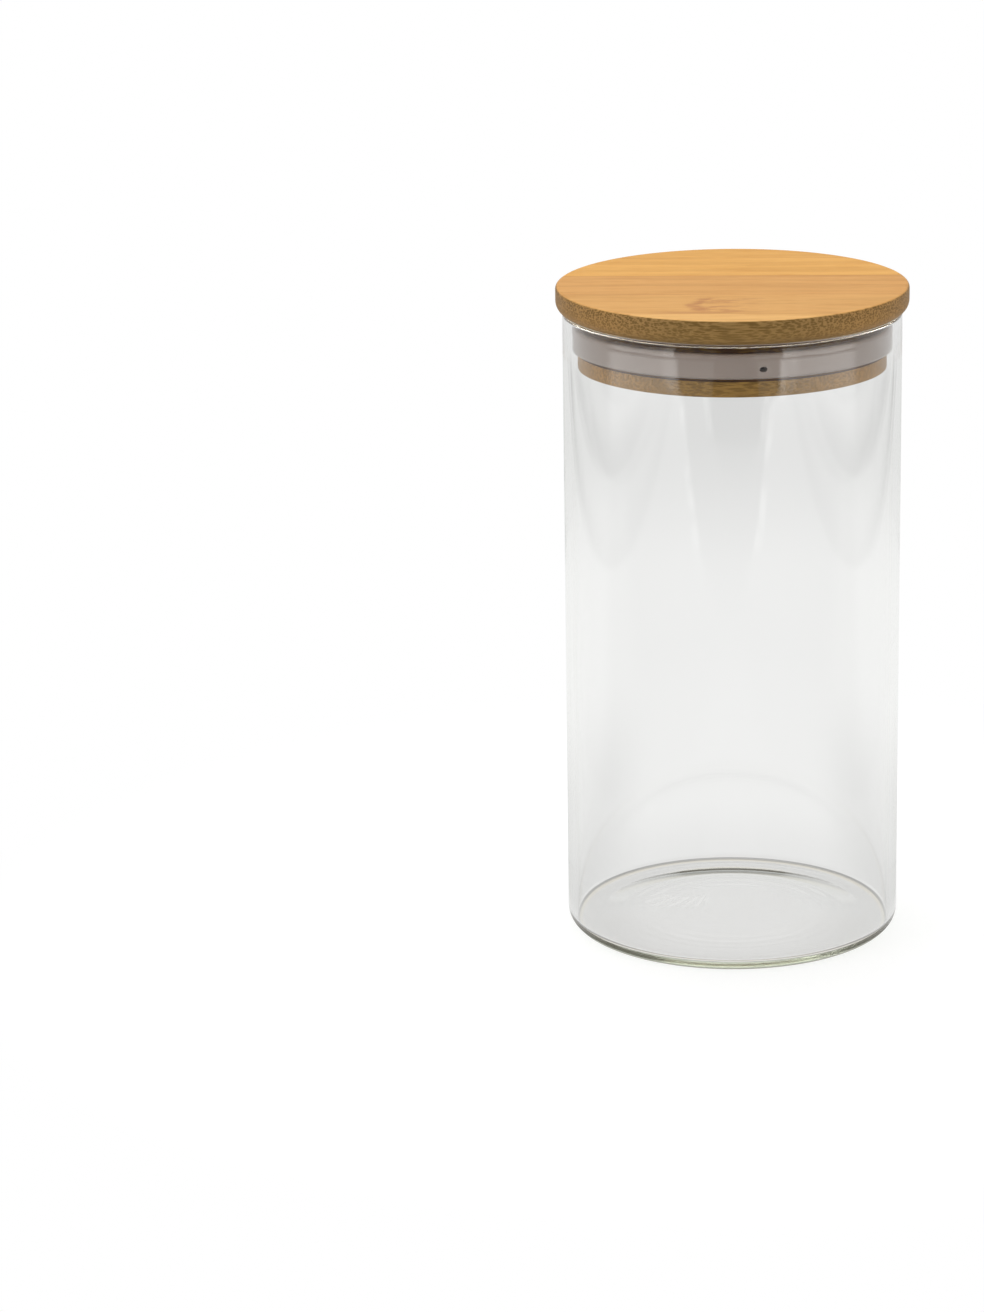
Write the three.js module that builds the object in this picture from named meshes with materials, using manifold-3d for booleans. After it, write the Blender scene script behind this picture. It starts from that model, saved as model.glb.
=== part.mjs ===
// Lidded glass canister: a straight round glass jar with a bamboo lid that pushes in.
//
// Millimetres, +Z up. The origin is the centre of the jar's foot, on the surface it stands on.
// The lid's grain runs along X and its top board is made of strips side by side along Y.
//
// Needs the npm packages three and manifold-3d.

import * as THREE from 'three';
import { mergeVertices } from 'three/addons/utils/BufferGeometryUtils.js';
import Module from 'manifold-3d';

// ---- driving dimensions -------------------------------------------------------------------

// Glass jar
const jarDiameter = 100;
const jarHeight = 190;
const jarWall = 2.6;
const jarBottom = 3.2; // floor thickness above the foot ring
const heelRadius = 5; // outside round between wall and foot
const insideHeelRadius = 1.3;
const rimRadius = 1.25; // fire-polished corners of the rim
const footRingWidth = 4; // flat ring that the jar stands on
const footRise = 0.8; // how far the underside is pushed up inside the foot ring
const footSlope = 5; // width of the slope from the ring to the pushed-up middle

// Bamboo top board
const lidOverhang = 2; // past the outside of the glass
const boardThickness = 7.6;
const boardTopRound = 1;
const boardUnderRound = 3.3;

// Bamboo strips. In each ply the front and rear strips are what the round edge leaves of one, measured
// along Y at the middle, and the strips between share the rest evenly. The joints are staggered from
// ply to ply.
const board = { front: 10, between: 3, rear: 14.5 };
const upperPly = { front: 16.5, between: 2, rear: 21.5 };
const lowerPly = { front: 12, between: 2, rear: 26 };

// Bamboo plug: two plies of strips under the top board
const plugDepth = 16;
const plugGap = 1.9; // between the plug and the glass
const plyThickness = 8; // of the upper ply; the lower ply takes the rest
const plugChamfer = 0.4;

// Silicone ring in the plug's groove
const sealDepth = 3.15; // from the rim down to the ring
const sealHeight = 7.45;
const sealThickness = 4.1;
const sealOuterRound = 1.2;
const sealInnerRound = 0.4;
const ventWidth = 2.3;
const ventHeight = 1.6;
const ventRise = 3; // above the ring's lower edge
const ventAngle = -79.2; // degrees round from +X

// Clearances
const sealToGlass = 0.35;
const sealToGroove = 0.3;
const sealEndPlay = 0.3; // under the ring, inside the groove

// Facets: all round pieces share one count, so they stay in step when the lid turns
const facets = 72;
const heelSteps = 7;
const roundSteps = 4;
const ventFacets = 20;

// ---- sizes that follow --------------------------------------------------------------------

const jarRadius = jarDiameter / 2;
const boreRadius = jarRadius - jarWall;
const footRadius = jarRadius - heelRadius;
const lidRadius = jarRadius + lidOverhang;
const lidTop = jarHeight + boardThickness;

const plugRadius = boreRadius - plugGap;
const plugBottom = jarHeight - plugDepth;
const plyPlane = jarHeight - plyThickness;

const sealOuterRadius = boreRadius - sealToGlass;
const sealInnerRadius = sealOuterRadius - sealThickness;
const sealTop = jarHeight - sealDepth;
const sealBottom = sealTop - sealHeight;
const grooveRadius = sealInnerRadius - sealToGroove;
const grooveBottom = sealBottom - sealEndPlay;

// ---- geometry helpers ---------------------------------------------------------------------

const wasm = await Module();
wasm.setup();

const point = (radius, height) => new THREE.Vector2(radius, height);

// Points of a quarter circle or less in the radius-height plane, angles in degrees.
function arc(centreRadius, centreHeight, radius, fromAngle, toAngle, steps) {
  return Array.from({ length: steps + 1 }, (_, step) => {
    const angle = THREE.MathUtils.degToRad(fromAngle + (toAngle - fromAngle) * step / steps);
    return point(centreRadius + radius * Math.cos(angle), centreHeight + radius * Math.sin(angle));
  });
}

// Closed mesh with shared vertices and no empty triangles.
function weld(geometry) {
  geometry.deleteAttribute('normal');
  geometry.deleteAttribute('uv');
  const merged = mergeVertices(geometry, 1e-4);
  const index = merged.index.array;
  const kept = [];
  for (let i = 0; i < index.length; i += 3) {
    const [a, b, c] = index.subarray(i, i + 3);
    if (a !== b && b !== c && c !== a) kept.push(a, b, c);
  }
  merged.setIndex(kept);
  return merged;
}

function toSolid(geometry) {
  const welded = weld(geometry);
  return new wasm.Manifold(new wasm.Mesh({
    numProp: 3,
    vertProperties: new Float32Array(welded.attributes.position.array),
    triVerts: new Uint32Array(welded.index.array),
  }));
}

function toGeometry(solid) {
  const mesh = solid.getMesh();
  const geometry = new THREE.BufferGeometry();
  geometry.setAttribute('position', new THREE.BufferAttribute(mesh.vertProperties, 3));
  geometry.setIndex(new THREE.BufferAttribute(mesh.triVerts, 1));
  geometry.computeVertexNormals();
  return geometry;
}

// Solid of revolution about Z. The profile runs anticlockwise, radius to the right and height up.
function revolve(profile) {
  const geometry = new THREE.LatheGeometry(profile, facets);
  geometry.rotateX(Math.PI / 2);
  return toSolid(geometry);
}

// Y of every glued joint in a ply of that radius, front to back.
function gluedJoints({ front, between, rear }, radius) {
  const width = (2 * radius - front - rear) / between;
  return Array.from({ length: between + 1 }, (_, i) => front - radius + i * width);
}

// Cuts a round board into its strips, front to back.
function sawIntoStrips(blank, ply, radius, bottom, top) {
  const margin = 5;
  const edges = [-radius - margin, ...gluedJoints(ply, radius), radius + margin];
  return edges.slice(1).map((far, i) => {
    const near = edges[i];
    const cutter = new THREE.BoxGeometry(2 * (radius + margin), far - near, top - bottom + 2 * margin);
    cutter.translate(0, (near + far) / 2, (bottom + top) / 2);
    return blank.intersect(toSolid(cutter));
  });
}

// ---- pieces -------------------------------------------------------------------------------

function makeJar() {
  const ringInner = footRadius - footRingWidth;
  return revolve([
    point(0, footRise),
    point(ringInner - footSlope, footRise),
    point(ringInner - footSlope / 2, footRise * 0.6),
    point(ringInner, 0),
    ...arc(footRadius, heelRadius, heelRadius, -90, 0, heelSteps),
    ...arc(jarRadius - rimRadius, jarHeight - rimRadius, rimRadius, 0, 90, roundSteps),
    ...arc(boreRadius + rimRadius, jarHeight - rimRadius, rimRadius, 90, 180, roundSteps),
    ...arc(boreRadius - insideHeelRadius, jarBottom + insideHeelRadius, insideHeelRadius,
      0, -90, heelSteps),
    point(0, jarBottom),
  ]);
}

function makeTopBoard() {
  return revolve([
    point(0, jarHeight),
    ...arc(lidRadius - boardUnderRound, jarHeight + boardUnderRound, boardUnderRound,
      -90, 0, roundSteps),
    ...arc(lidRadius - boardTopRound, lidTop - boardTopRound, boardTopRound, 0, 90, roundSteps),
    point(0, lidTop),
  ]);
}

function makeUpperPly() {
  return revolve([
    point(0, plyPlane),
    point(grooveRadius, plyPlane),
    point(grooveRadius, sealTop),
    point(plugRadius, sealTop),
    point(plugRadius, jarHeight),
    point(0, jarHeight),
  ]);
}

function makeLowerPly() {
  return revolve([
    point(0, plugBottom),
    point(plugRadius - plugChamfer, plugBottom),
    point(plugRadius, plugBottom + plugChamfer),
    point(plugRadius, grooveBottom),
    point(grooveRadius, grooveBottom),
    point(grooveRadius, plyPlane),
    point(0, plyPlane),
  ]);
}

function makeSealRing() {
  const inner = sealInnerRadius + sealInnerRound;
  const outer = sealOuterRadius - sealOuterRound;
  const corners = arc(inner, sealBottom + sealInnerRound, sealInnerRound, 180, 270, roundSteps);
  const ring = revolve([
    ...corners,
    ...arc(outer, sealBottom + sealOuterRound, sealOuterRound, -90, 0, roundSteps),
    ...arc(outer, sealTop - sealOuterRound, sealOuterRound, 0, 90, roundSteps),
    ...arc(inner, sealTop - sealInnerRound, sealInnerRound, 90, 180, roundSteps),
    corners[0],
  ]);
  return ring.subtract(makeVent());
}

// Oval vent that passes through the ring along its radius.
function makeVent() {
  const vent = new THREE.CylinderGeometry(0.5, 0.5, 3 * sealThickness, ventFacets);
  vent.scale(ventWidth, 1, ventHeight);
  vent.translate(0, (sealInnerRadius + sealOuterRadius) / 2, sealBottom + ventRise);
  vent.rotateZ(THREE.MathUtils.degToRad(ventAngle - 90));
  return toSolid(vent);
}

// ---- materials ----------------------------------------------------------------------------

const glass = () => new THREE.MeshStandardMaterial({
  color: 0xe9eded, roughness: 0.05, metalness: 0, transparent: true, opacity: 0.35,
});
const silicone = () => new THREE.MeshStandardMaterial({ color: 0xa8a29a, roughness: 0.45, metalness: 0 });
const bamboo = (color) => new THREE.MeshStandardMaterial({ color, roughness: 0.5, metalness: 0 });

const boardColors = [0xf0c284, 0xe2b078, 0xdda970, 0xe8b868, 0xe4b670];
const plugColors = [0xc9a065, 0xc39a5e, 0xcaa268, 0xc0965a];

// ---- assembly -----------------------------------------------------------------------------

const group = new THREE.Group();

function addPiece(name, solid, material) {
  const mesh = new THREE.Mesh(toGeometry(solid), material);
  mesh.name = name;
  group.add(mesh);
}

function addStrips(name, strips, colors) {
  strips.forEach((strip, i) => addPiece(`${name}_${i + 1}`, strip, bamboo(colors[i % colors.length])));
}

addPiece('glass_jar', makeJar(), glass());
addPiece('seal_ring', makeSealRing(), silicone());
addStrips('top_strip',
  sawIntoStrips(makeTopBoard(), board, lidRadius, jarHeight, lidTop), boardColors);
addStrips('plug_upper_strip',
  sawIntoStrips(makeUpperPly(), upperPly, plugRadius, plyPlane, jarHeight), plugColors);
addStrips('plug_lower_strip',
  sawIntoStrips(makeLowerPly(), lowerPly, plugRadius, plugBottom, plyPlane), plugColors);

export default group;
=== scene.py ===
"""Models a lidded glass canister around its packed frame: the glass jar, the silicone seal ring, and the
bamboo lid that pushes in, all in metres with Z up and the lid's grain along X."""

import math

import bmesh
import bpy
from mathutils import Matrix, Vector


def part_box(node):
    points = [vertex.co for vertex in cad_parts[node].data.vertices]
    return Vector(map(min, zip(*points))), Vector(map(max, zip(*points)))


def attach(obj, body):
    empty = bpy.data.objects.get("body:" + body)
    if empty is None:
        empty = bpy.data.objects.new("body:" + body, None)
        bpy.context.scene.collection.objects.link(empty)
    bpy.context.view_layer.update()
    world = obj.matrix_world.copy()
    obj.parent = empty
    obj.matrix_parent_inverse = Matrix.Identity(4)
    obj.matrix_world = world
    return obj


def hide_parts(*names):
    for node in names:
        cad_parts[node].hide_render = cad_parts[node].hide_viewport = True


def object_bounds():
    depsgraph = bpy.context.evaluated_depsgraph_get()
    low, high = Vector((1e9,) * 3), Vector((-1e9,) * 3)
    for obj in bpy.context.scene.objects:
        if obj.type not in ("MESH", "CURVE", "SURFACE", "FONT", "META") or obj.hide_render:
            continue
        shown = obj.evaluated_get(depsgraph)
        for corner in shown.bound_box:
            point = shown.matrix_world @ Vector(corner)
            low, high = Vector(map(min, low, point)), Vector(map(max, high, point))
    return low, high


bl_info = {
    "name": "Lidded Glass Canister",
    "version": (1, 0, 0),
    "blender": (4, 5, 0),
    "location": "3D View > Sidebar > Canister",
    "description": "Models a glass canister with a push-in bamboo lid and a silicone seal ring",
    "category": "Object",
}

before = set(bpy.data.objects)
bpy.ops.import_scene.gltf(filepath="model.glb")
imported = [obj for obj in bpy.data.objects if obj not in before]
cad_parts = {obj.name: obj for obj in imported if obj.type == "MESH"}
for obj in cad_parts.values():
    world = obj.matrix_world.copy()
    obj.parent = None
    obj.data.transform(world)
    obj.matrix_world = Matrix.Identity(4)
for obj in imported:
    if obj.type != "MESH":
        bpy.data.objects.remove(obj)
cad_low, cad_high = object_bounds()

# ---- places that the frame gives ----------------------------------------------------------------


def strip_nodes(prefix):
    """Names of the lid's strips with that prefix, front to back."""
    return sorted(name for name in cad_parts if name.startswith(prefix))


def joint_planes(nodes):
    """Y of the glued joints between those strips."""
    return [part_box(name)[0].y for name in nodes[1:]]


JAR_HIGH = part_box("glass_jar")[1]
RING_LOW, RING_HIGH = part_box("seal_ring")
TOP_STRIPS = strip_nodes("top_strip")
UPPER_STRIPS = strip_nodes("plug_upper_strip")
LOWER_STRIPS = strip_nodes("plug_lower_strip")

JAR_RADIUS = JAR_HIGH.x
JAR_HEIGHT = JAR_HIGH.z
LID_RADIUS = cad_high.x
LID_TOP = cad_high.z
PLUG_RADIUS = max(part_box(name)[1].x for name in UPPER_STRIPS)
PLUG_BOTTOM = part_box(LOWER_STRIPS[0])[0].z
PLY_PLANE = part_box(LOWER_STRIPS[0])[1].z
RING_RADIUS = RING_HIGH.x

MM = 0.001
SIDES = 240  # of every round piece
NODE_PLACE = (-11.4 * MM, -30.5 * MM)  # X and Y of the culm's node on the lid


# ---- sizes and colours that a user would change ---------------------------------------------------


def length(name, description, default):
    return bpy.props.FloatProperty(
        name=name, description=description, default=default, min=0, unit="LENGTH", precision=5
    )


def tint(name, description, default):
    return bpy.props.FloatVectorProperty(
        name=name, description=description, default=default, subtype="COLOR", size=3, min=0, max=1
    )


def srgb(red, green, blue):
    """Linear colour of an sRGB colour written in steps of 0 to 255."""
    def linear(step):
        share = step / 255
        return share / 12.92 if share <= 0.04045 else ((share + 0.055) / 1.055) ** 2.4
    return (linear(red), linear(green), linear(blue))


class JarSettings(bpy.types.PropertyGroup):
    """Glass jar"""

    wall: length("Wall", "Thickness of the glass wall", 2.6 * MM)
    floor: length("Floor", "Height of the jar's inside floor", 3.2 * MM)
    heel: length("Heel", "Round between the wall and the foot", 5 * MM)
    inside_heel: length("Inside heel", "Round between the wall and the inside floor", 1.3 * MM)
    rim: length("Rim", "Round of the fire-polished rim", 0.9 * MM)
    foot_ring: length("Foot ring", "Width of the flat ring that the jar stands on", 4 * MM)
    foot_slope: length("Foot slope", "Width of the slope inside the foot ring", 26 * MM)
    body: tint("Glass", "Tint of the glass where light goes far through it", (0.883, 0.90, 0.833))


class RingSettings(bpy.types.PropertyGroup):
    """Silicone seal ring"""

    thickness: length("Thickness", "From the ring's bore to its outer face", 4.1 * MM)
    outer_round: length("Outer round", "Round of the outer corners", 1.2 * MM)
    inner_round: length("Inner round", "Round of the inner corners", 0.4 * MM)
    vent_width: length("Vent width", "Width of the oval vent", 2.3 * MM)
    vent_height: length("Vent height", "Height of the oval vent", 1.6 * MM)
    vent_rise: length("Vent rise", "From the ring's lower edge to the vent", 3 * MM)
    vent_angle: bpy.props.FloatProperty(
        name="Vent angle", description="Where the vent is, round from +X",
        default=math.radians(-79.2), subtype="ANGLE",
    )
    body: tint("Silicone", "Colour of the silicone", srgb(164, 149, 142))


class LidSettings(bpy.types.PropertyGroup):
    """Bamboo lid"""

    top_round: length("Top edge", "Round of the board's top edge", 1 * MM)
    under_round: length("Under edge", "Round of the board's lower edge", 3.3 * MM)
    groove_depth: length("Groove depth", "Depth of the groove that holds the ring", 2.85 * MM)
    foot_chamfer: length("Foot chamfer", "Break of the plug's lower edge", 0.4 * MM)
    golden: tint("Golden strips", "Face colour of the rear strips", srgb(228, 173, 93))
    orange: tint("Orange strip", "Face colour of the middle strip", srgb(216, 162, 95))
    tan: tint("Tan strip", "Face colour of the strip with the node", srgb(217, 165, 97))
    pale: tint("Pale strip", "Face colour of the front strip", srgb(228, 178, 108))
    # The cut edge's colour is partly the darker bamboo of the turned edge and partly painted shade, for an
    # edge that gets less light than the top.
    cut: tint("Cut edge", "Colour of the turned edge between the fibres", srgb(153, 122, 76))
    fibre: tint("Fibres", "Colour of the fibre bundles where they are cut across", srgb(98, 72, 22))
    # Painted shade: the plug's edge above the ring gets a dark brown that stands for the shade between the
    # board and the ring, not the bamboo's own colour.
    painted_shade_above_ring: tint("Plug above the ring", "Colour of the plug's edge above the ring", srgb(60, 36, 20))
    turned: tint("Plug under the ring", "Colour of the plug's edge under the ring", srgb(166, 129, 72))


class StudioSettings(bpy.types.PropertyGroup):
    """Floor, lamps and camera"""

    camera_distance: length("Camera distance", "Level distance from the jar's axis", 1.2786)
    camera_height: length("Camera height", "Height above the floor", 0.46525)
    aim_left: length("Aim left", "How far left of the jar the camera points", 0.0724)
    aim_height: length("Aim height", "Height at which the camera points", 0.0833)
    lens: bpy.props.FloatProperty(
        name="Lens", description="Focal length for a 36 mm long side", default=121.38, min=10
    )
    paper: tint("Paper", "Colour of the floor", (0.5, 0.5, 0.5))


# ---- modelling by hand ----------------------------------------------------------------------------


def deselect_everything():
    if bpy.context.mode != "OBJECT":
        bpy.ops.object.mode_set(mode="OBJECT")
    bpy.ops.object.select_all(action="DESELECT")


def take(piece):
    """Makes the piece the only one selected, and active."""
    deselect_everything()
    piece.select_set(True)
    bpy.context.view_layer.objects.active = piece


def settle(piece):
    """Puts the piece's place into its mesh, so that its object sits at the origin."""
    take(piece)
    bpy.ops.object.transform_apply(location=True, rotation=True, scale=True)
    return piece


def round_blank(name, radius, bottom, top):
    """A plain cylinder about Z, ready to be shaped."""
    deselect_everything()
    bpy.ops.mesh.primitive_cylinder_add(
        vertices=SIDES, radius=radius, depth=top - bottom, location=(0, 0, (top + bottom) / 2)
    )
    piece = bpy.context.active_object
    piece.name = piece.data.name = name
    return settle(piece)


def copy_of(piece, name):
    twin = piece.copy()
    twin.data = piece.data.copy()
    twin.name = twin.data.name = name
    bpy.context.scene.collection.objects.link(twin)
    return twin


class Shaping:
    """Edit mode on one piece. Faces and edges are picked by their place."""

    CLOSE = 0.02 * MM

    def __init__(self, piece):
        self.piece = piece

    def __enter__(self):
        take(self.piece)
        bpy.ops.object.mode_set(mode="EDIT")
        bpy.ops.mesh.select_all(action="DESELECT")
        return self

    def __exit__(self, *failure):
        bpy.ops.object.mode_set(mode="OBJECT")

    def near(self, vertex, radius, height):
        gap = math.hypot(vertex.co.x, vertex.co.y) - radius
        return abs(gap) < self.CLOSE and abs(vertex.co.z - height) < self.CLOSE

    def pick_rings(self, *rings):
        """Selects the circles of edges at these (radius, height) places."""
        bpy.ops.mesh.select_mode(type="EDGE")
        bpy.ops.mesh.select_all(action="DESELECT")
        mesh = bmesh.from_edit_mesh(self.piece.data)
        for edge in mesh.edges:
            if any(all(self.near(v, *ring) for v in edge.verts) for ring in rings):
                edge.select_set(True)
        bmesh.update_edit_mesh(self.piece.data)

    def pick_disc(self, radius, height):
        """Selects the one flat face that fills this circle."""
        bpy.ops.mesh.select_mode(type="FACE")
        bpy.ops.mesh.select_all(action="DESELECT")
        mesh = bmesh.from_edit_mesh(self.piece.data)
        for face in mesh.faces:
            if len(face.verts) == SIDES and all(self.near(v, radius, height) for v in face.verts):
                face.select_set(True)
        bmesh.update_edit_mesh(self.piece.data)

    def round_off(self, offset, segments, *rings):
        """Bevels circles of edges to a round of that radius."""
        self.pick_rings(*rings)
        bpy.ops.mesh.bevel(
            offset_type="OFFSET", offset=offset, segments=segments, profile=0.5, affect="EDGES",
            clamp_overlap=False,
        )

    def step_in(self, thickness, depth=0.0):
        """Insets the selected face, and moves it by depth along its normal."""
        bpy.ops.mesh.inset(thickness=thickness, depth=depth, use_even_offset=True)

    def push(self, height):
        """Extrudes the selected face up or down."""
        bpy.ops.mesh.extrude_region_move(TRANSFORM_OT_translate={"value": (0, 0, height)})


def smooth(piece, angle=30):
    """Smooth shading that keeps the large faces beside a round truly flat, so that glass stays flat."""
    take(piece)
    bpy.ops.object.shade_smooth_by_angle(angle=math.radians(angle))
    weigh = piece.modifiers.new("weigh_normals", "WEIGHTED_NORMAL")
    weigh.keep_sharp = True
    weigh.weight = 100
    bpy.ops.object.modifier_apply(modifier=weigh.name)


def place(piece, body, slot, material, *nodes):
    """Gives the piece its finish, and sets it in the frame for the nodes that it stands for."""
    piece.data.materials.clear()
    piece.data.materials.append(material)
    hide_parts(*nodes)
    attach(piece, body)


# ---- shader maths ---------------------------------------------------------------------------------


class Field:
    """A value that changes over a surface. Arithmetic on it adds Math nodes."""

    def __init__(self, finish, socket):
        self.finish = finish
        self.socket = socket

    def math(self, operation, *others):
        return self.finish.node(
            "ShaderNodeMath", {"operation": operation}, dict(enumerate((self, *others)))
        )

    def __add__(self, other):
        return self.math("ADD", other)

    def __sub__(self, other):
        return self.math("SUBTRACT", other)

    def __mul__(self, other):
        return self.math("MULTIPLY", other)

    def __truediv__(self, other):
        return self.math("DIVIDE", other)

    def __pow__(self, other):
        return self.math("POWER", other)

    def __neg__(self):
        return self * -1

    def __radd__(self, other):
        return self + other

    def __rsub__(self, other):
        return -self + other

    def size(self):
        return self.math("ABSOLUTE")

    def least(self, other):
        return self.math("MINIMUM", other)

    def most(self, other):
        return self.math("MAXIMUM", other)

    def ramp(self, low, high):
        """0 at low, 1 at high, and smooth between them; low may be the larger."""
        return self.finish.node(
            "ShaderNodeMapRange", {"interpolation_type": "SMOOTHSTEP"},
            {"Value": self, "From Min": low, "From Max": high},
        )


class Finish:
    """A material or world under construction."""

    def __init__(self, holder, output):
        holder.use_nodes = True
        self.tree = holder.node_tree
        self.tree.nodes.clear()
        self.output = self.tree.nodes.new(output)

    def node(self, kind, settings=None, inputs=None, output=0):
        """Adds a node, sets it up, and fills its inputs with values or with other nodes' outputs."""
        made = self.tree.nodes.new(kind)
        for name, value in (settings or {}).items():
            setattr(made, name, value)
        for name, value in (inputs or {}).items():
            self.fill(made.inputs[name], value)
        return Field(self, made.outputs[output])

    def fill(self, socket, value):
        if isinstance(value, Field):
            self.tree.links.new(value.socket, socket)
        elif isinstance(value, (tuple, list)) and len(value) == 3 and socket.type == "RGBA":
            socket.default_value = (*value, 1)
        else:
            socket.default_value = value

    def show(self, surface, volume=None):
        self.tree.links.new(surface.socket, self.output.inputs["Surface"])
        if volume is not None:
            self.tree.links.new(volume.socket, self.output.inputs["Volume"])

    def mix(self, share, first, second):
        """Blends two colours."""
        return self.node(
            "ShaderNodeMix", {"data_type": "RGBA"}, {0: share, 6: first, 7: second}, output=2
        )

    def multiply(self, colour, share, other):
        """Multiplies a colour by another, as far as share says."""
        return self.node(
            "ShaderNodeMix", {"data_type": "RGBA", "blend_type": "MULTIPLY"},
            {0: share, 6: colour, 7: other}, output=2,
        )

    def blend(self, share, first, second):
        """Blends two values."""
        return self.node("ShaderNodeMix", {"data_type": "FLOAT"}, {0: share, 2: first, 3: second})

    def either(self, share, first, second):
        """Blends two shaders."""
        return self.node("ShaderNodeMixShader", None, {0: share, 1: first, 2: second})

    def emission(self, colour, strength):
        return self.node("ShaderNodeEmission", None, {"Color": colour, "Strength": strength})

    def bump(self, strength, distance, height):
        """A surface that rises by this distance, in metres, where height is 1."""
        return self.node(
            "ShaderNodeBump", None, {"Strength": strength, "Distance": distance, "Height": height}
        )

    def ray(self, output):
        """What the Light Path node says of the ray that meets the surface."""
        return self.node("ShaderNodeLightPath", None, None, output=output)

    def position(self):
        """Place in the frame, as a vector."""
        return self.node("ShaderNodeTexCoord", None, None, output="Object")

    def parts(self, vector):
        """The three parts of a vector."""
        split = self.tree.nodes.new("ShaderNodeSeparateXYZ")
        self.tree.links.new(vector.socket, split.inputs[0])
        return [Field(self, socket) for socket in split.outputs]

    def stretched(self, vector, scale, shift=(0, 0, 0)):
        return self.node(
            "ShaderNodeMapping", None, {"Vector": vector, "Scale": scale, "Location": shift}
        )

    def noise(self, vector, scale, detail=2.0, roughness=0.5):
        return self.node(
            "ShaderNodeTexNoise", None,
            {"Vector": vector, "Scale": scale, "Detail": detail, "Roughness": roughness},
        )


def start_material(name):
    """A new material, and the finish that builds it."""
    material = bpy.data.materials.new(name)
    return material, Finish(material, "ShaderNodeOutputMaterial")


# ---- materials ------------------------------------------------------------------------------------


def foot_ripples(x, y, z):
    """A fan of ripples on the left of the jar's underside, which spread towards the front."""
    fan = (x / MM + 5.3) * (y * (0.06 / MM)).math("EXPONENT")
    waves = ((fan.size() / 8 + 1).math("LOGARITHM", math.e) * (8 * math.pi)).math("SINE")
    waves = waves * x.ramp(-0.029, -0.021) * x.ramp(-0.005, -0.008) * z.ramp(0.0026, 0.0014)
    return waves * y.ramp(-0.001, 0.006) * y.ramp(0.015, 0.009)


def clear_glass(settings):
    """Clear glass. Lamps shine through it, and its tint shows only where light goes far through it."""
    material, finish = start_material("clear_glass")
    spot = finish.position()
    x, y, z = finish.parts(spot)
    ripple_height = 1.2
    wide_waves = finish.noise(finish.stretched(spot, (75, 75, 14)), 1.0, 2, 0.45)
    fine_waves = finish.noise(finish.stretched(spot, (350, 350, 16)), 1.0, 1, 0.5)
    drawn = wide_waves * 1.6 + fine_waves * 0.2
    height = foot_ripples(x, y, z) * ripple_height + drawn * z.ramp(0.02, 0.05) * z.ramp(0.1885, 0.185)
    glass = finish.node("ShaderNodeBsdfPrincipled", None, {
        "Base Color": (0.992, 0.992, 0.992), "Roughness": 0.0, "IOR": 1.48, "Transmission Weight": 1.0,
        "Normal": finish.bump(1.0, 0.03 * MM, height),
    })
    lamp_ray = finish.ray("Is Shadow Ray").most(finish.ray("Is Diffuse Ray"))
    late = finish.ray("Glossy Depth").ramp(3.4, 3.6)  # a ray that was mirrored often goes straight on
    open_way = finish.node("ShaderNodeBsdfTransparent", None, {"Color": (0.93, 0.94, 0.93)})
    body = finish.node(
        "ShaderNodeVolumeAbsorption", None, {"Color": tuple(settings.body), "Density": 30.0})
    finish.show(finish.either(lamp_ray.most(late), glass, open_way), body)
    return material


def soft_silicone(settings):
    """Smooth, slightly milky silicone."""
    material, finish = start_material("soft_silicone")
    spot = finish.position()
    cloud = finish.noise(spot, 90, 3)
    colour = finish.mix(cloud.ramp(0.3, 0.7), tuple(c * 0.95 for c in settings.body), tuple(settings.body))
    surface = finish.node("ShaderNodeBsdfPrincipled", None, {
        "Base Color": colour, "Roughness": 0.38,
        "Normal": finish.bump(0.05, 0.2 * MM, finish.noise(spot, 1500, 2)),
        "Subsurface Weight": 0.35, "Subsurface Radius": (1.0, 0.9, 0.8), "Subsurface Scale": 2 * MM,
    })
    finish.show(surface)
    return material


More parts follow.
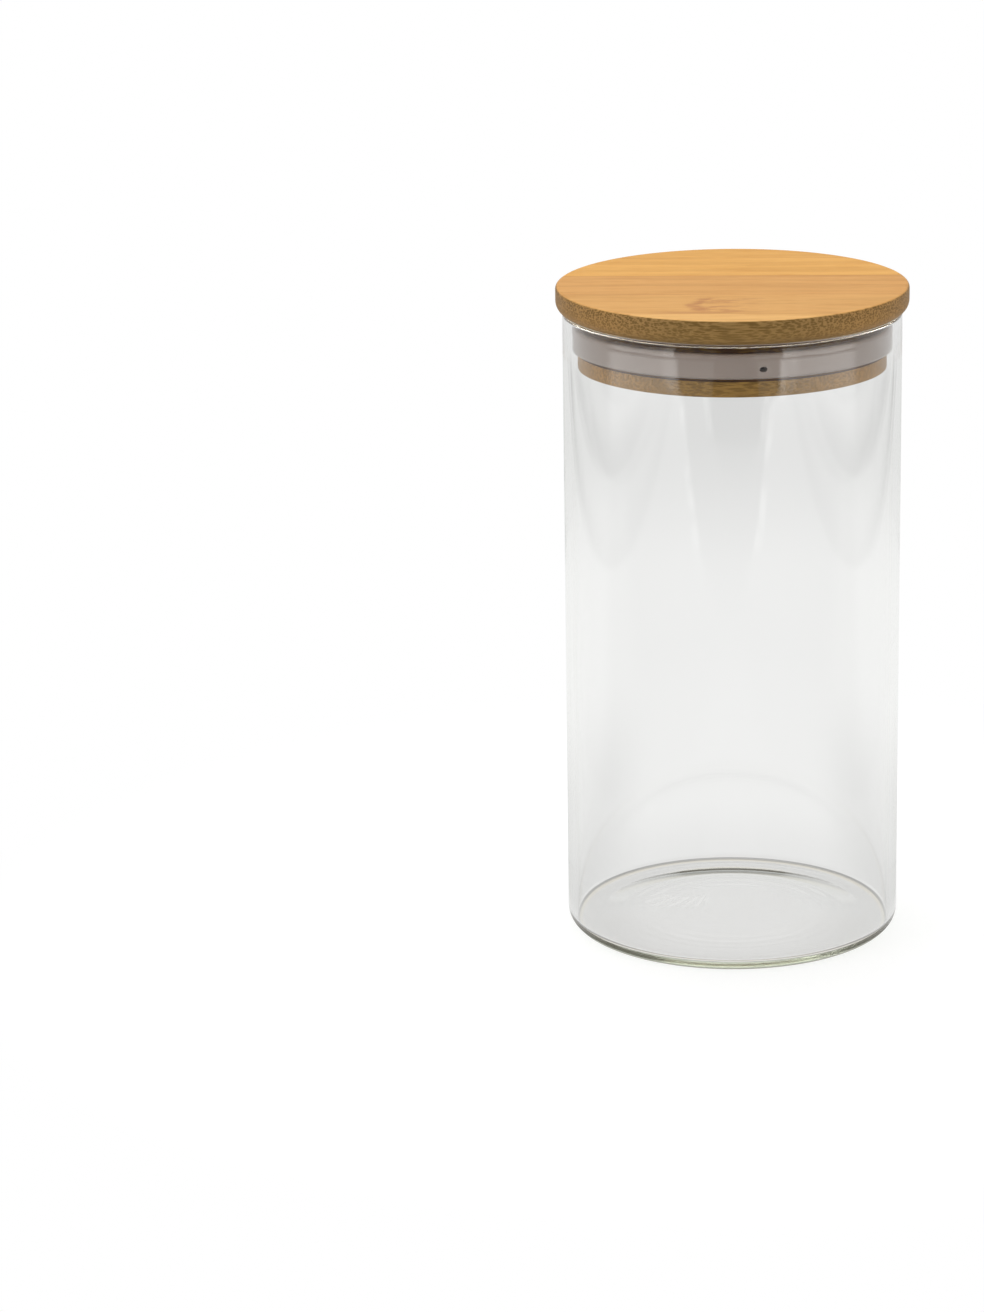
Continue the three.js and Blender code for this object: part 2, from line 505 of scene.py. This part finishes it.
def bamboo(name, face, cut, fibre, seed, top, bottom, node_at=None, joints=(), lip=None):
    """Laminated bamboo with its grain along X: long fine streaks on the flat faces, and cut fibre
    bundles on the turned edge, denser towards the top of each strip. A strip may show a culm's node, the
    glued joints at these Y, and a painted shadow: a dark line under a lip at this height."""
    material, finish = start_material(name)
    spot = finish.position()
    x, y, z = finish.parts(spot)
    facing = finish.parts(finish.node("ShaderNodeTexCoord", None, None, output="Normal"))[2]
    edge = facing.ramp(0.93, 0.55) * facing.ramp(-0.999, -0.98)
    shift = (seed * 7.1, seed * 13.7, seed * 5.3)

    # Fibre bundles run along X, so a slice across them shows dots and a slice along them streaks.
    along = finish.stretched(spot, (190, 1950, 1700), shift)
    cells = finish.node(
        "ShaderNodeTexVoronoi", None, {"Vector": along, "Scale": 1.0, "Randomness": 0.9},
        output="Distance")
    fine = finish.noise(along, 1.7, 4, 0.65)
    depth = z.ramp(bottom, top)
    bundle = (cells * 0.75 + fine * 0.55).ramp(0.78, 0.52) * (0.5 + depth * 0.5)
    broad = finish.noise(finish.stretched(spot, (14, 190, 60), shift), 1.0, 4, 0.65)
    streak = finish.noise(finish.stretched(spot, (60, 520, 400), shift), 1.0, 4, 0.75)

    light = tuple(min(1, c * 1.04) for c in face)
    dark = (face[0] * 0.93, face[1] * 0.90, face[2] * 0.85)
    flat_colour = finish.mix(broad.ramp(0.38, 0.62), dark, light)
    flat_colour = finish.multiply(flat_colour, streak.ramp(0.48, 0.66) * 0.5, (0.88, 0.78, 0.64))
    flat_colour = finish.multiply(flat_colour, bundle * 0.22, (0.86, 0.76, 0.62))
    if node_at is not None:
        flat_colour = culm_node(finish, flat_colour, spot, node_at)
    for joint in joints:
        line = (y - joint).size().ramp(0.5 * MM, 0.1 * MM)
        flat_colour = finish.multiply(flat_colour, line * 0.4, (0.70, 0.52, 0.40))

    # The turned edge is paler and pinker where the fibres are cut across, at the two ends of the grain.
    ends = x.size().ramp(0.012, 0.042)
    ground = finish.mix(fine.ramp(0.4, 0.65), tuple(cut), tuple(c * 1.2 for c in cut))
    ground = finish.multiply(ground, 1.0, finish.mix(ends, (0.80, 0.76, 0.62), (1.12, 1.0, 0.84)))
    shaded_edge_colour = finish.mix(bundle * 0.8 + 0.04, ground, tuple(fibre))
    if lip is not None:
        # Painted shadow: darkens the edge from 0.4 mm under the lip upwards, where the ring above would
        # shade it.
        shaded_edge_colour = finish.multiply(shaded_edge_colour, z.ramp(lip - 0.6 * MM, lip - 0.4 * MM), (0.2, 0.13, 0.1))
    # The turned edge takes its edge colour, which is partly painted shade, wherever the surface turns away
    # from the flat top and bottom.
    colour = finish.mix(edge, flat_colour, shaded_edge_colour)

    height = fine * 0.4 + streak * 0.4 - bundle * edge * 0.6
    surface = finish.node("ShaderNodeBsdfPrincipled", None, {
        "Base Color": colour, "Roughness": 0.5 + fine * 0.12, "Specular IOR Level": 0.3,
        "Normal": finish.bump(0.18, 0.2 * MM, height),
    })
    finish.show(surface)
    return material


def culm_node(finish, colour, spot, node_at):
    """The scar of the culm's node across a strip: a bent brown line, with mottling that trails off."""
    centre_x, centre_y = node_at
    x, y, _ = finish.parts(spot)
    wobble = finish.noise(finish.stretched(spot, (170, 330, 300)), 1.0, 3, 0.6)
    mottle = finish.noise(finish.stretched(spot, (110, 420, 300), (3, 1, 2)), 1.0, 4, 0.65)
    across = (y - centre_y).size()
    bend = across * 0.42
    gap = x - centre_x - bend + (wobble - 0.5) * 0.007
    line = gap.size().ramp(0.0034, 0.0005) * across.ramp(0.011, 0.008) * mottle.ramp(0.25, 0.5)
    trail = gap.ramp(-0.002, 0.001) * gap.ramp(0.024, 0.004) * mottle.ramp(0.47, 0.60)
    trail = trail * across.ramp(0.012, 0.009)
    foot = (y - centre_y + 0.0098).size().ramp(0.0022, 0.0004) * (x + 0.010).size().ramp(0.016, 0.004)
    mark = (line * 0.9).most(trail * 0.75).most(foot * 0.55)
    return finish.multiply(colour, mark, (0.74, 0.62, 0.66))


# ---- pieces ---------------------------------------------------------------------------------------


class CANISTER_OT_glass_jar(bpy.types.Operator):
    """Models the glass jar from a round blank"""

    bl_idname = "canister.glass_jar"
    bl_label = "Glass jar"

    def execute(self, context):
        size = context.scene.canister_jar
        bore = JAR_RADIUS - size.wall
        jar = round_blank("jar_glass", JAR_RADIUS, 0, JAR_HEIGHT)
        with Shaping(jar) as shape:
            shape.pick_disc(JAR_RADIUS, JAR_HEIGHT)
            shape.step_in(size.wall)
            shape.push(size.floor - JAR_HEIGHT)
            shape.round_off(size.rim, 6, (JAR_RADIUS, JAR_HEIGHT), (bore, JAR_HEIGHT))
            shape.round_off(size.heel, 14, (JAR_RADIUS, 0))
            shape.round_off(size.inside_heel, 10, (bore, size.floor))
            self.shape_foot(shape, size)
        smooth(jar, 40)
        place(jar, "jar", "glass", clear_glass(size), "glass_jar")
        return {"FINISHED"}

    @staticmethod
    def shape_foot(shape, size, steps=52):
        """Presses the underside up inside the foot ring, on a shallow slope with ripples inside it."""
        outer = JAR_RADIUS - size.heel - size.foot_ring
        step = size.foot_slope / steps
        shape.pick_disc(JAR_RADIUS - size.heel, 0)
        shape.step_in(size.foot_ring)
        for i in range(steps):
            tilt = foot_tilt(outer - (i + 0.5) * step)
            shape.step_in(step, -step * math.tan(tilt))


def foot_tilt(radius):
    """How steeply the jar's underside rises towards the middle, at this radius."""
    slopes = ((31.6, 1.1, 2.75, 2), (27.5, 1.0, 2.4, 2), (23.5, 1.0, 1.4, 2), (37.0, 3.7, 3.2, 10))
    return math.radians(sum(  # of three ripples and a main slope: middle, half width, degrees, squareness
        steepest * math.exp(-(((radius / MM - middle) / width) ** square))
        for middle, width, steepest, square in slopes))


class CANISTER_OT_seal_ring(bpy.types.Operator):
    """Models the silicone ring and its oval vent"""

    bl_idname = "canister.seal_ring"
    bl_label = "Seal ring"

    def execute(self, context):
        size = context.scene.canister_ring
        bore = RING_RADIUS - size.thickness
        ring = round_blank("seal_silicone", RING_RADIUS, RING_LOW.z, RING_HIGH.z)
        core = round_blank("ring_core", bore, RING_LOW.z - 2 * MM, RING_HIGH.z + 2 * MM)
        self.cut(ring, core)
        with Shaping(ring) as shape:
            shape.round_off(
                size.outer_round, 8, (RING_RADIUS, RING_LOW.z), (RING_RADIUS, RING_HIGH.z))
            shape.round_off(size.inner_round, 4, (bore, RING_LOW.z), (bore, RING_HIGH.z))
        self.cut(ring, self.vent(size))
        smooth(ring, 35)
        place(ring, "seal", "silicone", soft_silicone(size), "seal_ring")
        return {"FINISHED"}

    @staticmethod
    def vent(size):
        """A long oval rod along the ring's radius, where the vent is."""
        deselect_everything()
        middle = RING_RADIUS - size.thickness / 2
        bpy.ops.mesh.primitive_cylinder_add(
            vertices=48, radius=0.5, depth=3 * size.thickness,
            location=(middle * math.cos(size.vent_angle), middle * math.sin(size.vent_angle),
                      RING_LOW.z + size.vent_rise),
            rotation=(math.pi / 2, 0, size.vent_angle + math.pi / 2),
        )
        rod = bpy.context.active_object
        rod.scale = (size.vent_width, size.vent_height, 1)
        return settle(rod)

    @staticmethod
    def cut(piece, tool):
        """Takes the tool's shape out of the piece."""
        take(piece)
        saw = piece.modifiers.new("cut", "BOOLEAN")
        saw.operation = "DIFFERENCE"
        saw.solver = "EXACT"
        saw.object = tool
        bpy.ops.object.modifier_apply(modifier=saw.name)
        bpy.data.objects.remove(tool)


def saw_strip(blank, name, front, rear):
    """A copy of the blank, cut off square at the front and rear planes."""
    strip = copy_of(blank, name)
    with Shaping(strip):
        for plane, clear_outer in ((front, False), (rear, True)):
            if plane is None:
                continue
            bpy.ops.mesh.select_all(action="SELECT")
            bpy.ops.mesh.bisect(
                plane_co=(0, plane, 0), plane_no=(0, 1, 0), use_fill=True,
                clear_inner=not clear_outer, clear_outer=clear_outer, threshold=1e-6,
            )
    smooth(strip, 30)
    return strip


def saw_all(blank, nodes):
    """Cuts the blank into strips at the frame's joints, and returns them with their joints."""
    joints = joint_planes(nodes)
    edges = [None, *joints, None]
    strips = []
    for node, front, rear in zip(nodes, edges, edges[1:]):
        strip = saw_strip(blank, "bamboo_" + node, front, rear)
        strips.append((node, strip, [plane for plane in (front, rear) if plane is not None]))
    bpy.data.objects.remove(blank)
    return strips


class CANISTER_OT_top_board(bpy.types.Operator):
    """Models the lid's top board and cuts it into its bamboo strips"""

    bl_idname = "canister.top_board"
    bl_label = "Top board"

    def execute(self, context):
        size = context.scene.canister_lid
        blank = round_blank("board_blank", LID_RADIUS, JAR_HEIGHT, LID_TOP)
        with Shaping(blank) as shape:
            shape.round_off(size.top_round, 6, (LID_RADIUS, LID_TOP))
            shape.round_off(size.under_round, 10, (LID_RADIUS, JAR_HEIGHT))
        faces = (size.pale, size.tan, size.orange, size.golden, size.golden)
        for i, (node, strip, joints) in enumerate(saw_all(blank, TOP_STRIPS)):
            node_at = NODE_PLACE if i == 1 else None
            finish = bamboo(
                "bamboo_face_%d" % (i + 1), tuple(faces[i]), size.cut, size.fibre, i + 1.0,
                LID_TOP, JAR_HEIGHT, node_at, joints)
            place(strip, "lid", "bamboo_board", finish, node)
        return {"FINISHED"}


class CANISTER_OT_plug(bpy.types.Operator):
    """Models the two plies of the lid's plug, with the ring's groove, and cuts them into strips"""

    bl_idname = "canister.plug"
    bl_label = "Plug"

    def execute(self, context):
        size = context.scene.canister_lid
        groove_low = self.groove_bottom()
        upper = round_blank("upper_ply_blank", PLUG_RADIUS, RING_HIGH.z, JAR_HEIGHT)
        with Shaping(upper) as shape:
            shape.pick_disc(PLUG_RADIUS, RING_HIGH.z)
            shape.step_in(size.groove_depth)
            shape.push(PLY_PLANE - RING_HIGH.z)
        lower = round_blank("lower_ply_blank", PLUG_RADIUS, PLUG_BOTTOM, groove_low)
        with Shaping(lower) as shape:
            shape.pick_disc(PLUG_RADIUS, groove_low)
            shape.step_in(size.groove_depth)
            shape.push(PLY_PLANE - groove_low)
            shape.round_off(size.foot_chamfer, 3, (PLUG_RADIUS, PLUG_BOTTOM))
        for blank, nodes, top, seed, cut, lip in (
            # The upper ply's edge takes the painted shade colour in place of a bamboo cut colour.
            (upper, UPPER_STRIPS, JAR_HEIGHT, 11.0, size.painted_shade_above_ring, None),
            (lower, LOWER_STRIPS, PLY_PLANE, 21.0, size.turned, groove_low),
        ):
            for i, (node, strip, joints) in enumerate(saw_all(blank, nodes)):
                finish = bamboo(
                    "bamboo_" + node, tuple(size.tan), cut, size.fibre, seed + i, top, top - 8 * MM,
                    None, joints, lip)
                place(strip, "lid", "bamboo_plug", finish, node)
        return {"FINISHED"}

    @staticmethod
    def groove_bottom():
        """Height of the groove's lower face, from the lower ply's own solid."""
        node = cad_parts[LOWER_STRIPS[0]]
        heights = sorted({round(v.co.z, 5) for v in node.data.vertices})
        return heights[-2]


# ---- stage ----------------------------------------------------------------------------------------


def front_panels(finish, x, y, reach):
    """What glass mirrors in front of the jar: bright panels with a dark wedge between them, whose sides
    carry ragged bright streaks. Reach is the distance from the jar's axis."""
    far = reach.ramp(0.76, 0.80)
    wedge = ((-0.352 - y) * 1.376 + far * 0.055 + x).least((-0.383 - y) * 1.05 + far * 0.107 - x)
    core = reach.ramp(0.685, 0.71) * x.ramp(-0.19, -0.17) * x.ramp(0.25, 0.23)
    panels = 0.62 + reach.ramp(0.55, 0.85) * (0.8 + x.size().ramp(0.5, 0.85) * 0.4)
    ragged = finish.noise(finish.position(), 16, 3).ramp(0.4, 0.6)
    wide = reach.ramp(0.76, 0.83)
    streak = (wedge / (wide * 0.25 + 0.07)).ramp(-1, -0.6) * wedge.ramp(0.01, 0.0) * reach.ramp(0.46, 0.6)
    streak = streak * (wide * 0.4 + ragged * 0.6)
    dark = wedge.ramp(-0.01, 0.03) * reach.ramp(0.40, 0.58) * (0.75 + core * 0.25)
    panels = panels + streak * 1.1 - dark * (panels - 0.1)
    panels = panels * (1 - reach.ramp(0.872, 0.885) * reach.ramp(0.95, 0.92) * 0.88)
    clear = reach.ramp(0.12, 0.22)
    return panels * clear + (1 - clear) * 0.85


def side_tables(x, y):
    """Two dim bands beyond the panels, at the left and at the right."""
    aside = x.size() + y * 0.06
    near = aside.ramp(0.462, 0.475) * aside.ramp(0.56, 0.48)
    far = aside.ramp(0.605, 0.62) * aside.ramp(0.73, 0.64)
    return near * 0.3 + far * 0.4


def mirrored_floor(finish, x, y, reach):
    """The floor as glass and gloss see it: panels in front, a plain sweep behind, and painted shadow of the
    jar: a dim ring where the jar stands, and darker floor close to it and beside it."""
    bounced = finish.ray("Glossy Depth").ramp(0.2, 0.8)  # 1 for a ray that was mirrored, not bent
    # Painted light and shade: the sweep behind is a painted pool of light that dims far off, and dims again
    # close to the jar as a painted shadow.
    behind = 0.93 - reach.ramp(0.38, 0.64) * 0.14 - reach.ramp(0.12, 0.055) * 0.08
    rear = y.ramp(-0.05, 0.05).most(1 - bounced)
    glow = finish.blend(rear, front_panels(finish, x, y, reach), behind)
    # Painted shade on the floor beside the jar, left and right; the floor right under the jar's middle is
    # made a little lighter.
    sides = x.size().ramp(0.028, 0.055) * reach.ramp(0.052, 0.06) * reach.ramp(0.26, 0.1)
    glow = glow + reach.ramp(0.042, 0.022) * 0.1 - sides * 0.12
    glow = glow - side_tables(x, y) * bounced * reach.ramp(0.82, 0.76)
    # Painted contact shadow: a dark ring under the jar's heel, with a warm fringe along its inner side.
    painted_contact_shadow = reach.ramp(0.0466, 0.0480) * reach.ramp(0.0512, 0.0498)
    warm = reach.ramp(0.0452, 0.0464) * reach.ramp(0.0488, 0.0474)
    hue = finish.mix(warm * 0.8, (1, 1, 1), (1.0, 0.95, 0.84))
    return finish.emission(hue, glow * (1 - painted_contact_shadow * 0.55))


def paper_floor(settings):
    """Pale paper. The camera sees it as white but for soft shadows near the jar."""
    material, finish = start_material("paper_floor")
    x, y, _ = finish.parts(finish.position())
    reach = (x * x + y * y) ** 0.5
    camera, glossy = (finish.ray(name) for name in ("Is Camera Ray", "Is Glossy Ray"))
    lit = finish.node("ShaderNodeBsdfDiffuse", None, {"Color": tuple(settings.paper)})
    near = finish.node("ShaderNodeAddShader", None, {0: lit, 1: finish.emission((1, 1, 1), camera * 0.56)})
    shown = finish.either(camera * reach.ramp(0.14, 0.24), near, finish.emission((1, 1, 1), 1.0))
    finish.show(finish.either(glossy, shown, mirrored_floor(finish, x, y, reach)))
    return material


def studio_world():
    """Even light all round, which the camera sees as white. Glass and gloss see a room that is dark above,
    but the outer face of clear glass mirrors its windows, as a bright line along a rim."""
    world = bpy.data.worlds.new("studio_world")
    finish = Finish(world, "ShaderNodeOutputWorld")
    camera, glossy, sharp, depth = (finish.ray(name) for name in (
        "Is Camera Ray", "Is Glossy Ray", "Is Singular Ray", "Transmission Depth"))
    _, y, height = finish.parts(finish.node("ShaderNodeTexCoord"))
    room = 0.88 - height.ramp(0.14, 0.22) * 0.5 - height.ramp(0.30, 0.45) * 0.24
    windows = height.ramp(0.2, 0.32) * height.ramp(0.85, 0.65) * (12 + y.ramp(-0.6, 0.4) * 5)
    windows = windows * glossy * sharp * depth.ramp(0.8, 0.2)
    even = 0.5
    strength = even + camera * (1 - even) + glossy * (room - even) + windows
    warm = (glossy * height.ramp(0.3, 0.45)).most(windows.ramp(0, 8) * 0.7)
    hue = finish.mix(warm, (1, 1, 1), (1.0, 0.87, 0.68))
    finish.show(finish.node("ShaderNodeBackground", None, {"Color": hue, "Strength": strength}))
    return world


def softbox(name, stand, aim, width, height, power, mirrored=False):
    """A flat soft lamp at stand that faces aim. Gloss shows it only if it is mirrored."""
    lamp = bpy.data.lights.new(name, "AREA")
    lamp.shape = "RECTANGLE"
    lamp.size = width
    lamp.size_y = height
    lamp.energy = power
    holder = bpy.data.objects.new(name, lamp)
    bpy.context.scene.collection.objects.link(holder)
    holder.location = stand
    holder.rotation_euler = (Vector(aim) - Vector(stand)).to_track_quat("-Z", "Y").to_euler()
    holder.visible_glossy = mirrored
    holder.visible_transmission = False
    return holder


class CANISTER_OT_studio(bpy.types.Operator):
    """Sets up the floor, the lamps and the camera"""

    bl_idname = "canister.studio"
    bl_label = "Studio"

    def execute(self, context):
        size = context.scene.canister_studio
        deselect_everything()
        just_below = -0.02 * MM  # the foot ring, so that the two faces don't coincide
        bpy.ops.mesh.primitive_plane_add(size=16, location=(0, 0, just_below))
        floor = bpy.context.active_object
        floor.name = "paper"
        floor.data.materials.append(paper_floor(size))
        context.scene.world = studio_world()
        softbox("top_light", (-0.1, 0.25, 1.3), (0, 0, 0.15), 0.9, 0.9, 8, True)
        softbox("left_light", (-0.42, -0.33, 0.3), (0, 0, 0.15), 0.3, 0.6, 1.2)
        softbox("right_light", (0.44, -0.38, 0.3), (0, 0, 0.15), 0.3, 0.6, 1.2)
        self.set_camera(context, size)
        context.scene.view_settings.view_transform = "Standard"
        return {"FINISHED"}

    @staticmethod
    def set_camera(context, size):
        """Points the camera left of the jar, turned so that the jar's axis stays upright."""
        camera = bpy.data.cameras.new("camera")
        camera.sensor_width = 36
        camera.lens = size.lens
        camera.clip_start = 0.05
        camera.clip_end = 40
        holder = bpy.data.objects.new("camera", camera)
        context.scene.collection.objects.link(holder)
        stand = Vector((0, -size.camera_distance, size.camera_height))
        forward = (Vector((-size.aim_left, 0, size.aim_height)) - stand).normalized()
        up = Vector((1, 0, 0)).cross(forward).normalized()
        turn = Matrix((forward.cross(up), up, -forward)).transposed()
        holder.matrix_world = Matrix.Translation(stand) @ turn.to_4x4()
        context.scene.camera = holder


# ---- panel and registration -----------------------------------------------------------------------

SETTINGS = {
    "canister_jar": JarSettings,
    "canister_ring": RingSettings,
    "canister_lid": LidSettings,
    "canister_studio": StudioSettings,
}
STEPS = (
    CANISTER_OT_glass_jar, CANISTER_OT_seal_ring, CANISTER_OT_top_board, CANISTER_OT_plug,
    CANISTER_OT_studio,
)


class CANISTER_PT_panel(bpy.types.Panel):
    """Lists the canister's pieces and their sizes"""

    bl_idname = "CANISTER_PT_panel"
    bl_label = "Canister"
    bl_space_type = "VIEW_3D"
    bl_region_type = "UI"
    bl_category = "Canister"

    def draw(self, context):
        for step in STEPS:
            self.layout.operator(step.bl_idname)
        for name, group in SETTINGS.items():
            box = self.layout.box()
            box.label(text=group.__doc__)
            for key in group.__annotations__:
                box.prop(getattr(context.scene, name), key)


def register():
    for item in (*SETTINGS.values(), *STEPS, CANISTER_PT_panel):
        bpy.utils.register_class(item)
    for name, group in SETTINGS.items():
        setattr(bpy.types.Scene, name, bpy.props.PointerProperty(type=group))


def unregister():
    for name in SETTINGS:
        delattr(bpy.types.Scene, name)
    for item in (CANISTER_PT_panel, *STEPS, *SETTINGS.values()):
        bpy.utils.unregister_class(item)


def main():
    register()
    bpy.ops.canister.glass_jar()
    bpy.ops.canister.seal_ring()
    bpy.ops.canister.top_board()
    bpy.ops.canister.plug()
    bpy.ops.canister.studio()


if __name__ == "__main__":
    main()
